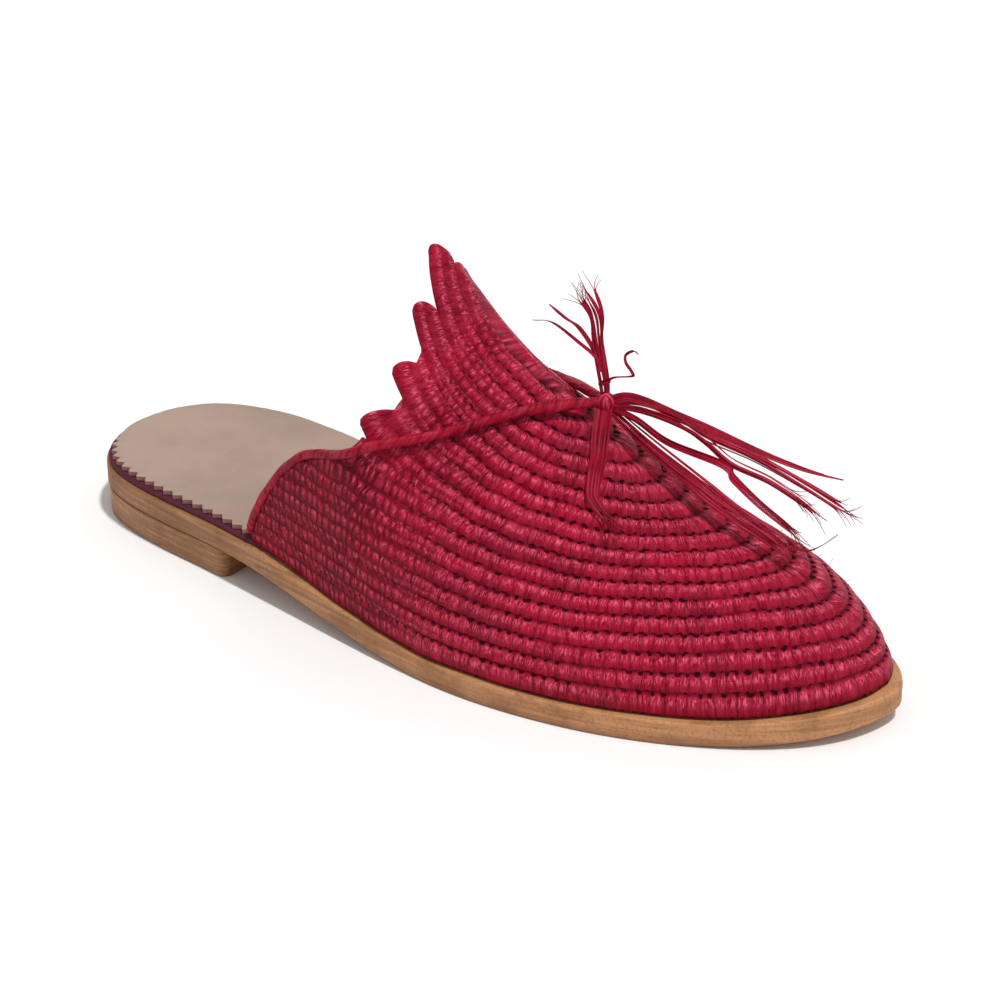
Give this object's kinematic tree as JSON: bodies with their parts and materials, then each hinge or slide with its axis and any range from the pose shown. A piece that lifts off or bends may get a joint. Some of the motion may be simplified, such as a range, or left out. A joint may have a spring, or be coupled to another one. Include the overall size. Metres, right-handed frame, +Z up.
{
  "type": "babouche slipper",
  "caption": "Backless babouche slipper for the right foot: hollow coiled raffia upper with a stepped crown and tassel on a low-heeled leather sole.",
  "frame": {"origin": "on the floor under the middle of the heel, on the heel's middle line", "axes": "+X from heel to toe, +Y towards the inner side of the foot, +Z up"},
  "size_m": [0.268, 0.0938, 0.1085],
  "materials": {
    "sole_leather": "smooth tan",
    "dyed_leather": "dark wine, matt",
    "insole_leather": "pale natural, matt",
    "raffia": "dyed crimson, soft sheen"
  },
  "bodies": {
    "root": {"outsole": "sole_leather", "heel_block": "sole_leather", "rand": "dyed_leather", "insole": "insole_leather", "upper": "raffia", "cord_outer": "raffia", "cord_inner": "raffia", "tassel": "raffia"}
  },
  "joints": []
}
